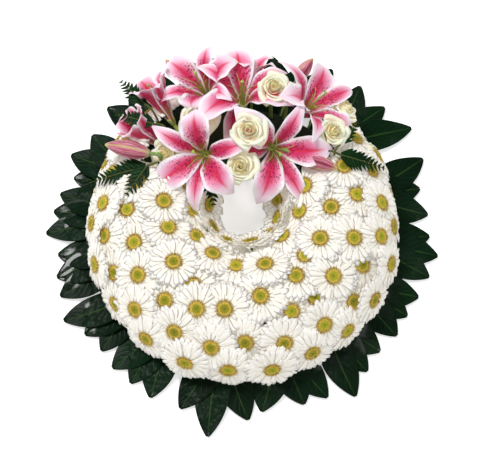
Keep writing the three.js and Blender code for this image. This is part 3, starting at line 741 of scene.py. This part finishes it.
def gerbera(piece, head, press, random):
    """A gerbera: two long rings of rays, a short one round the eye, the eye, a green cup and a stem."""
    size = head["radius"]
    rays(piece, head, press, random, 28, size + 5, 4.7, -1.2, 0.8)
    rays(piece, head, press, random, 27, size + 1.5, 4.3, 0.4, 1.4)
    rays(piece, head, press, random, 19, size * 0.66, 2.7, 1.3, 1.2)
    eye_of(piece, head, random)
    stem = GERBERA["stem"]
    cup = [(7.5, -0.8), (6.8, -3.0), (4.5, -5.6), (stem, -7.5), (stem, -30), (stem, -GERBERA["stem_length"])]
    points, across, along = turned(cup, 10)
    piece.add(placed(points, head["at"], head["facing"]), across, along, kind=GREEN)


def make_gerberas(material):
    heads, crowders = gerbera_heads(), showy_crowders()
    for clump in range(len(GERBERA_CLUMPS)):
        random = np.random.default_rng(100 + clump)
        piece = Piece(f"flowers_{clump + 1:02d}", [f"gerberas_{clump + 1:02d}"], "gerbera", material)
        for head in heads:
            if head["clump"] == clump:
                gerbera(piece, head, lambda tips: pressed(head, heads, crowders, tips), random)
        piece.finish()


# ---------- Lilies ----------
def bezier(points, share):
    """A point and its direction on the cubic with four control points, at shares of its way."""
    p0, p1, p2, p3 = (np.asarray(p, float) for p in points)
    t = share[..., None]
    place = p0 * (1 - t) ** 3 + 3 * p1 * t * (1 - t) ** 2 + 3 * p2 * t**2 * (1 - t) + p3 * t**3
    way = 3 * ((p1 - p0) * (1 - t) ** 2 + 2 * (p2 - p1) * t * (1 - t) + (p3 - p2) * t**2)
    return place, unit(way)


def tepal(piece, lily, number, random):
    """A tepal: its middle line is a cubic that climbs from the throat, opens and rolls back. Across it a
    shallow channel rises with the square of the width, a keel sinks the middle, and waves lift the margin."""
    name, at, facing, spin, wide, size, tucked = lily
    broad = number % 2 == 0
    held_back = number == tucked
    half = (LILY["petal"] if broad else LILY["sepal"]) * (0.4 + 0.6 * wide)
    reach = (LILY["reach"] if broad else LILY["reach"] + 4) * size * STRETCH.get(name, [1] * 6)[number]
    back = 0.0 if broad else 1.8
    close = 1 - wide
    bent = BENT_DOWN.get(name, [0] * 6)[number]
    tip = (reach * wide, 58 * close - bent + random.uniform(-8, 5))
    spine = [(3, -LILY["depth"]), (14 * wide + 2, 4), (50 * wide, 24 + 30 * close - 0.7 * bent), tip]
    if held_back:
        spine = [(3, -LILY["depth"]), (14, -22), (40, -26), (reach * 0.8, -44)]
    phase = random.uniform(0, 2 * np.pi)
    bend = random.uniform(-5, 5)
    ruffle = 2.6 if broad else 1.3

    def surface(across, along):
        place, way = bezier(spine, along + 0 * across)
        form = np.sin(np.pi * np.clip(0.045 + 0.95 * along, 0, 1) ** (1.35 if broad else 1.1))
        half_here = half * form + 0.9
        side = across * half_here
        curl = 0.8 * side**2 / (2 * (place[..., 0] + 6))
        keel = -1.3 * np.exp(-((across / 0.13) ** 2)) * np.sin(np.pi * np.clip(along, 0, 1)) ** 0.5
        waves = ruffle * abs(across) ** 3 * np.sin(2 * np.pi * 3.2 * along + phase + np.sign(across)) * form
        lift = curl + keel + waves - back
        sway = bend * along**2
        return np.stack([place[..., 0] - way[..., 1] * lift, side + sway, place[..., 1] + way[..., 0] * lift], -1)

    points, across, along = blade(surface, 34, 26, LILY["thick"])
    step = math.radians(60 * number + SWAY.get(name, [0] * 6)[number])
    turn = np.array([[math.cos(step), -math.sin(step), 0], [math.sin(step), math.cos(step), 0], [0, 0, 1]])
    piece.add(placed(points @ turn.T, at, facing, spin), across, along, random.uniform(0, 1))


def threads(piece, lily, random):
    """Six filaments that spread from the throat and curve out, and a thicker pistil with a three-lobed end."""
    name, at, facing, spin, wide, size, tucked = lily
    for number in range(6):
        angle = math.radians(60 * number + 30 + random.uniform(-12, 12))
        out = random.uniform(16, 26) * wide
        top = random.uniform(8, 18)
        line = [(2.5, -34), (4, -14), (9 * wide, 2), (out, top)]
        path = through_points([(r * math.cos(angle), r * math.sin(angle), h) for r, h in line], 12)
        points, across, along = tube(path, 0.85 - 0.4 * np.linspace(0, 1, 12), 6)
        piece.add(placed(points, at, facing, spin), across, along, kind=GREEN)
    lean = random.uniform(-5, 5, 2)
    path = through_points([(0, 0, -36), (0, 0, -8), (lean[0] * 0.5, lean[1] * 0.5, 12), (*lean, 24)], 14)
    points, across, along = tube(path, 1.1, 8)
    piece.add(placed(points, at, facing, spin), across, along, kind=GREEN)
    angle = np.linspace(0, 2 * np.pi, 12, endpoint=False)[None, :]
    share = np.linspace(0.1, 0.95, 6)[:, None]
    radius = 2.6 * np.sin(np.pi * share) * (1 + 0.22 * np.cos(3 * angle))
    knob = np.stack(np.broadcast_arrays(radius * np.cos(angle), radius * np.sin(angle), 3.4 * share - 1.4), -1)
    piece.add(placed(knob + path[-1], at, facing, spin), 0.0, share, kind=GREEN)


def make_lilies(material):
    for number, lily in enumerate(LILIES):
        name, at, facing, spin, wide, size, tucked = lily
        random = np.random.default_rng(200 + number)
        piece = Piece(f"open_{name}", [name], "lily", material)
        for i in range(6):
            tepal(piece, lily, i, random)
        threads(piece, lily, random)
        depth = LILY["depth"]
        base = [(6.0, -depth + 6), (5.2, -depth), (4.2, -depth - 4), (LILY["stem"], -depth - 7)]
        points, across, along = turned(base, 12)
        piece.add(placed(points, at, facing, spin), across, along, kind=GREEN)
        start = np.asarray(at) - unit(facing) * (depth + 2)
        footed_stem(piece, start, facing, bearing_of(at), LILY["stem"])
        piece.finish()


# ---------- Lily buds ----------
def make_buds(material):
    """A bud: the radius along it is the sine of a skewed share, pinched between three broad and three narrow
    tepals by a wave round the bud, and the tip is blunt."""
    for number, (name, at, pointing, size, foot) in enumerate(BUDS):
        length = BUD["length"] * size
        radius = BUD["radius"] * (0.4 + 0.6 * size)
        along = np.linspace(0.01, 1, 40)[:, None]
        angle = np.linspace(0, 2 * np.pi, 48, endpoint=False)[None, :]
        body = radius * np.sin(np.pi * (0.06 + 0.92 * along**0.92)) ** 0.8
        ribs = 1 + 0.05 * np.cos(3 * angle) + 0.035 * np.cos(6 * angle) - 0.05 * abs(np.sin(1.5 * angle)) ** 12
        bow = 2.2 * np.sin(np.pi * along) * size
        x = body * ribs * np.cos(angle) + bow
        y = body * ribs * np.sin(angle)
        points = np.stack(np.broadcast_arrays(x, y, length * (along * 1.02 - 0.02)), -1)
        piece = Piece(f"closed_{name}", [name], "bud", material)
        piece.add(placed(points, at, pointing, 40 * number), angle / np.pi - 1, along, 0.3 * number)
        footed_stem(piece, np.asarray(at) + unit(pointing) * 2, pointing, foot, BUD["stem"])
        piece.finish()


# ---------- Roses ----------
def rose_petals(piece, rose, random, count=14):
    """Petals round a rose by the golden angle. The further out a petal is, the wider its circle and the more
    its rim flares and rolls back. Each petal's one edge lies outside its neighbour and the other inside, so
    the rims make a loose spiral, and a slow wave runs along every rim."""
    name, at, facing, size = rose
    radius, height = ROSE["radius"] * size, ROSE["height"] * size
    shape = (count, 1, 1)
    outness = (np.arange(count) / (count - 1)).reshape(shape)
    turn = np.arange(count).reshape(shape) * GOLDEN_ANGLE + random.uniform(-0.25, 0.25, shape)
    circle = radius * (0.1 + 0.66 * outness**0.9) * random.uniform(0.95, 1.05, shape)
    span = 1.9 - 0.85 * outness
    top = height * (0.42 - 0.18 * outness**1.5) * random.uniform(0.9, 1.08, shape)
    phase = random.uniform(0, 6.28, shape)

    def surface(across, along):
        form = 0.5 + 0.5 * np.sin(np.pi * np.clip(0.1 + 0.8 * along, 0, 1)) ** 0.7
        angle = turn + across * span * form
        open_up = 0.4 + 0.6 * np.sin(np.pi / 2 * np.clip(along * 1.3, 0, 1))
        flare = radius * (0.2 * outness * along**3 + 0.22 * outness**1.5 * along**8)
        spiral = radius * 0.07 * across * (0.4 + outness)
        ripple = radius * 0.05 * np.sin(3 * across + phase) * along**3 * (0.3 + outness)
        out = circle * open_up + flare + spiral + ripple
        rolled = radius * 0.3 * outness * along**9
        corners = radius * 0.22 * abs(across) ** 3 * along
        wave = radius * 0.05 * np.sin(5 * across + phase) * along**4
        rise = -height * 0.42 + (top + height * 0.42) * along - rolled - corners + wave
        return np.stack(np.broadcast_arrays(out * np.cos(angle), out * np.sin(angle), rise), -1)

    points, across, along = blade(surface, 16, 26, 0.6)
    piece.add(placed(points, at, facing), across, along, outness)


def make_roses(material):
    for number, rose in enumerate(ROSES):
        name, at, facing, size = rose
        random = np.random.default_rng(300 + number)
        piece = Piece(f"bloom_{name}", [name], "rose", material)
        rose_petals(piece, rose, random)
        height = ROSE["height"] * size
        hip = [(ROSE["radius"] * size * 0.5, -height * 0.36), (ROSE["radius"] * size * 0.36, -height * 0.47)]
        hip += [(5.5, -height * 0.54), (5.0, -height * 0.6), (ROSE["stem"], -height * 0.64)]
        points, across, along = turned(hip, 14)
        piece.add(placed(points, at, facing), across, along, kind=GREEN)
        start = np.asarray(at) - unit(facing) * (height * 0.5)
        footed_stem(piece, start, facing, bearing_of(at), ROSE["stem"])
        piece.finish()


# ---------- Fern ----------
def frond(piece, foot, tip, half, random):
    """A frond: leaflets in pairs along a bowed stalk, longest near the foot, each a narrow blade with a saw
    edge that leans towards the tip and droops away from the stalk."""
    foot, tip = np.array(foot, float), np.array(tip, float)
    length = np.linalg.norm(tip - foot)
    forward = unit(tip - foot)
    side = unit(np.cross(forward, [0, 0, 1]))
    upward = np.cross(side, forward)
    pairs = int(length / FERN["spacing"])
    share = np.repeat(np.linspace(0.03, 0.95, pairs), 2).reshape(-1, 1, 1)
    hand = np.tile([-1.0, 1.0], pairs).reshape(-1, 1, 1)
    size = half * 1.12 * (1 - share) ** 0.75 * random.uniform(0.9, 1.08, share.shape) + 2.5
    lean = 0.75 + 0.25 * share + random.uniform(-0.08, 0.08, share.shape)
    droop = random.uniform(0.04, 0.16, share.shape)
    start = share * length

    def bow(y):
        return 2.2 * np.sin(np.pi * y / length / 1.1)

    def surface(across, along):
        teeth = 1 + 0.4 * (1 - np.abs((along * 6) % 1 * 2 - 1)) * (1 - along)
        wide = FERN["pinna_half"] * (0.35 + 0.65 * np.clip(1 - along, 0, 1) ** 0.7) * (1 - along**6) * teeth
        wide = wide * np.clip(size / half, 0.35, 1) + 0.15
        out = size * along
        x = hand * (out * np.sin(lean) - across * wide * np.cos(lean))
        y = start + out * np.cos(lean) + across * wide * np.sin(lean)
        z = -droop * out * along + 0.5 * across**2 + bow(y)
        return x[..., None] * side + y[..., None] * forward + z[..., None] * upward + foot

    points, across, along = blade(surface, 14, 6, FERN["thick"])
    points = np.where((hand < 0)[..., None], points[..., ::-1, :], points)
    piece.add(points, across, along, random.uniform(0, 1, share.shape))
    y = np.linspace(-4, length, 16)
    stalk = foot + y[:, None] * forward + bow(y)[:, None] * upward
    piece.add(*tube(stalk, np.linspace(1.0, 0.35, 16), 6), kind=GREEN)


def make_ferns(material):
    for number, (name, foot, tip, half, fork) in enumerate(FERNS):
        random = np.random.default_rng(400 + number)
        piece = Piece(f"frond_{name}", [name], "fern", material)
        frond(piece, foot, tip, half, random)
        if fork:
            frond(piece, foot, fork, half * FERN["second"], random)
        footed_stem(piece, foot, np.subtract(tip, foot), bearing_of(foot), FERN["stem"])
        piece.finish()


# ---------- Leaf sprigs ----------
def make_sprigs(material):
    """Three leaves on a twig, and a short one that fills the gap to the next sprig under the flowers. A leaf runs
    from its twig's end to its tip. Its half width is the sine of its share, drawn in to a
    point at the tip; its height falls to the floor along a quarter wave; it is rolled like the blade of a
    fan, folded a little at the midrib, and its margin waves."""
    for number, tips in enumerate(SPRIGS):
        random = np.random.default_rng(500 + number)
        name = f"leaf_sprig_{number + 1:02d}"
        piece = Piece(f"leaves_{number + 1:02d}", [name], "leaf", material)
        twig_bearing = math.radians((tips[0][0] + tips[2][0]) / 2)
        base = LEAF["root"] * np.array([math.cos(twig_bearing), math.sin(twig_bearing)])
        gap_filler = (tips[2][0] + 6.5, 222)
        for order, (bearing, reach) in enumerate([*tips, gap_filler]):
            tip = reach * np.array([math.cos(math.radians(bearing)), math.sin(math.radians(bearing))])
            way = tip - base
            length = np.linalg.norm(way)
            way = way / length
            square = np.array([-way[1], way[0]])
            root_height = LEAF["root_height"] - order * 1.8
            bend = random.uniform(-4, 4)
            wave, phase = random.uniform(0.5, 1.4), random.uniform(0, 6.28)
            half = LEAF["half"] * random.uniform(0.92, 1.02)

            def surface(across, along):
                share = np.clip(along, 0, 1)
                wide = half * np.sin(np.pi * (0.02 + 0.97 * share) ** 1.1) ** 0.66 * (1 - 0.3 * share**9) + 0.5
                sideways = across * wide
                fall = root_height + (LEAF["tip_height"] - root_height) * np.sin(share * np.pi / 2)
                roll = sideways * math.sin(math.radians(LEAF["roll"])) * np.sin(np.pi * np.minimum(share + 0.15, 1))
                fold = 0.07 * abs(sideways) - 0.5 * np.exp(-((across / 0.08) ** 2))
                edge = wave * across**2 * np.sin(9 * along + phase) * np.sin(np.pi * share)
                middle = sideways + bend * np.sin(np.pi * share)
                x = base[0] + way[0] * length * along + square[0] * middle
                y = base[1] + way[1] * length * along + square[1] * middle
                return np.stack(np.broadcast_arrays(x, y, fall + roll + fold + edge), -1)

            points, across, along = blade(surface, 26, 20, LEAF["thick"])
            piece.add(points, across, along, random.uniform(0, 1))
        reach = np.linspace(LEAF["root"] - 26, LEAF["root"] + 3, 8)
        height = np.full(8, LEAF["root_height"] - 1.8)
        twig = np.stack([reach * math.cos(twig_bearing), reach * math.sin(twig_bearing), height], -1)
        piece.add(*tube(twig, LEAF["twig"], 8), kind=GREEN)
        piece.finish()


# ---------- Foam and tray ----------
def finish_hidden():
    """The foam ring and the tray keep their own solids, with a finish each."""
    for name, slot, material in (("foam_ring", "foam", foam_finish()), ("tray", "tray", tray_finish())):
        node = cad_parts[name]
        node.data.materials.clear()
        node.data.materials.append(material)


# ---------- Floor, light and camera ----------
def make_floor():
    """A pale flat floor just under the tray, twelve metres across so that no edge shows."""
    across = np.linspace(-6, 6, 2)
    along = np.linspace(-6, 6, 2)
    x, y = np.meshgrid(across, along)
    mesh = bpy.data.meshes.new("floor")
    points = np.stack([x, y, 0 * x - 0.0002], -1).reshape(-1, 3)
    mesh.from_pydata(points.tolist(), [], [(0, 1, 3, 2)])
    pale = (0.95, 0.95, 0.95, 1.0)
    floor_finish = Finish("pale_floor").set(Base_Color=pale, Roughness=0.9, Emission_Color=pale, Emission_Strength=0.56)
    mesh.materials.append(floor_finish)
    floor = bpy.data.objects.new("floor", mesh)
    bpy.context.scene.collection.objects.link(floor)


def aimed(thing, at, target):
    """Sets a light or camera at a place, with its -Z axis to the target and its Y axis up."""
    back = unit(np.asarray(at, float) - target)
    right = unit(np.cross([0, 0, 1], back))
    up = np.cross(back, right)
    matrix = np.eye(4)
    matrix[:3, 0], matrix[:3, 1], matrix[:3, 2], matrix[:3, 3] = right, up, back, at
    thing.matrix_world = Matrix(matrix.tolist())


def area_light(name, at, size, power):
    light = bpy.data.lights.new(name, "AREA")
    light.shape = "DISK"
    light.size = size
    light.energy = power
    lamp = bpy.data.objects.new(name, light)
    bpy.context.scene.collection.objects.link(lamp)
    aimed(lamp, at, np.zeros(3))


def make_light():
    """Soft studio light: a broad key from the back left, a weak fill from the right and a pale surround."""
    area_light("key", (-0.7, 0.6, 2.2), 0.7, 38)
    area_light("fill", (0.9, -0.9, 1.9), 1.2, 8)
    world = bpy.data.worlds.new("pale_surround")
    bpy.context.scene.world = world
    surround = Finish("pale_surround", world)
    way = surround.node("ShaderNodeTexCoord")
    height = surround.node("ShaderNodeSeparateXYZ", {}, {"Vector": way}, output=2)
    surround.set(Color=(1.0, 1.0, 1.0, 1.0), Strength=height.step(0.42, 0.1) * 0.42 + 0.28)


CAMERA = {"elevation": 70, "distance": 1.5, "lens": 75.8, "aim": (0.0064, 0.0111, 0)}


def make_camera():
    """Looks down on the wreath from the front at a steep angle."""
    data = bpy.data.cameras.new("camera")
    data.lens = CAMERA["lens"]
    data.sensor_width = 36
    camera = bpy.data.objects.new("camera", data)
    bpy.context.scene.collection.objects.link(camera)
    tilt = math.radians(CAMERA["elevation"])
    aim = np.array(CAMERA["aim"])
    at = aim + CAMERA["distance"] * np.array([0, -math.cos(tilt), math.sin(tilt)])
    aimed(camera, at, aim)
    bpy.context.scene.camera = camera


make_gerberas(gerbera_finish())
make_lilies(lily_finish())
make_buds(bud_finish())
make_roses(rose_finish())
make_ferns(fern_finish())
make_sprigs(leaf_finish())
finish_hidden()
make_floor()
make_light()
make_camera()
bpy.context.scene.view_settings.view_transform = "Standard"
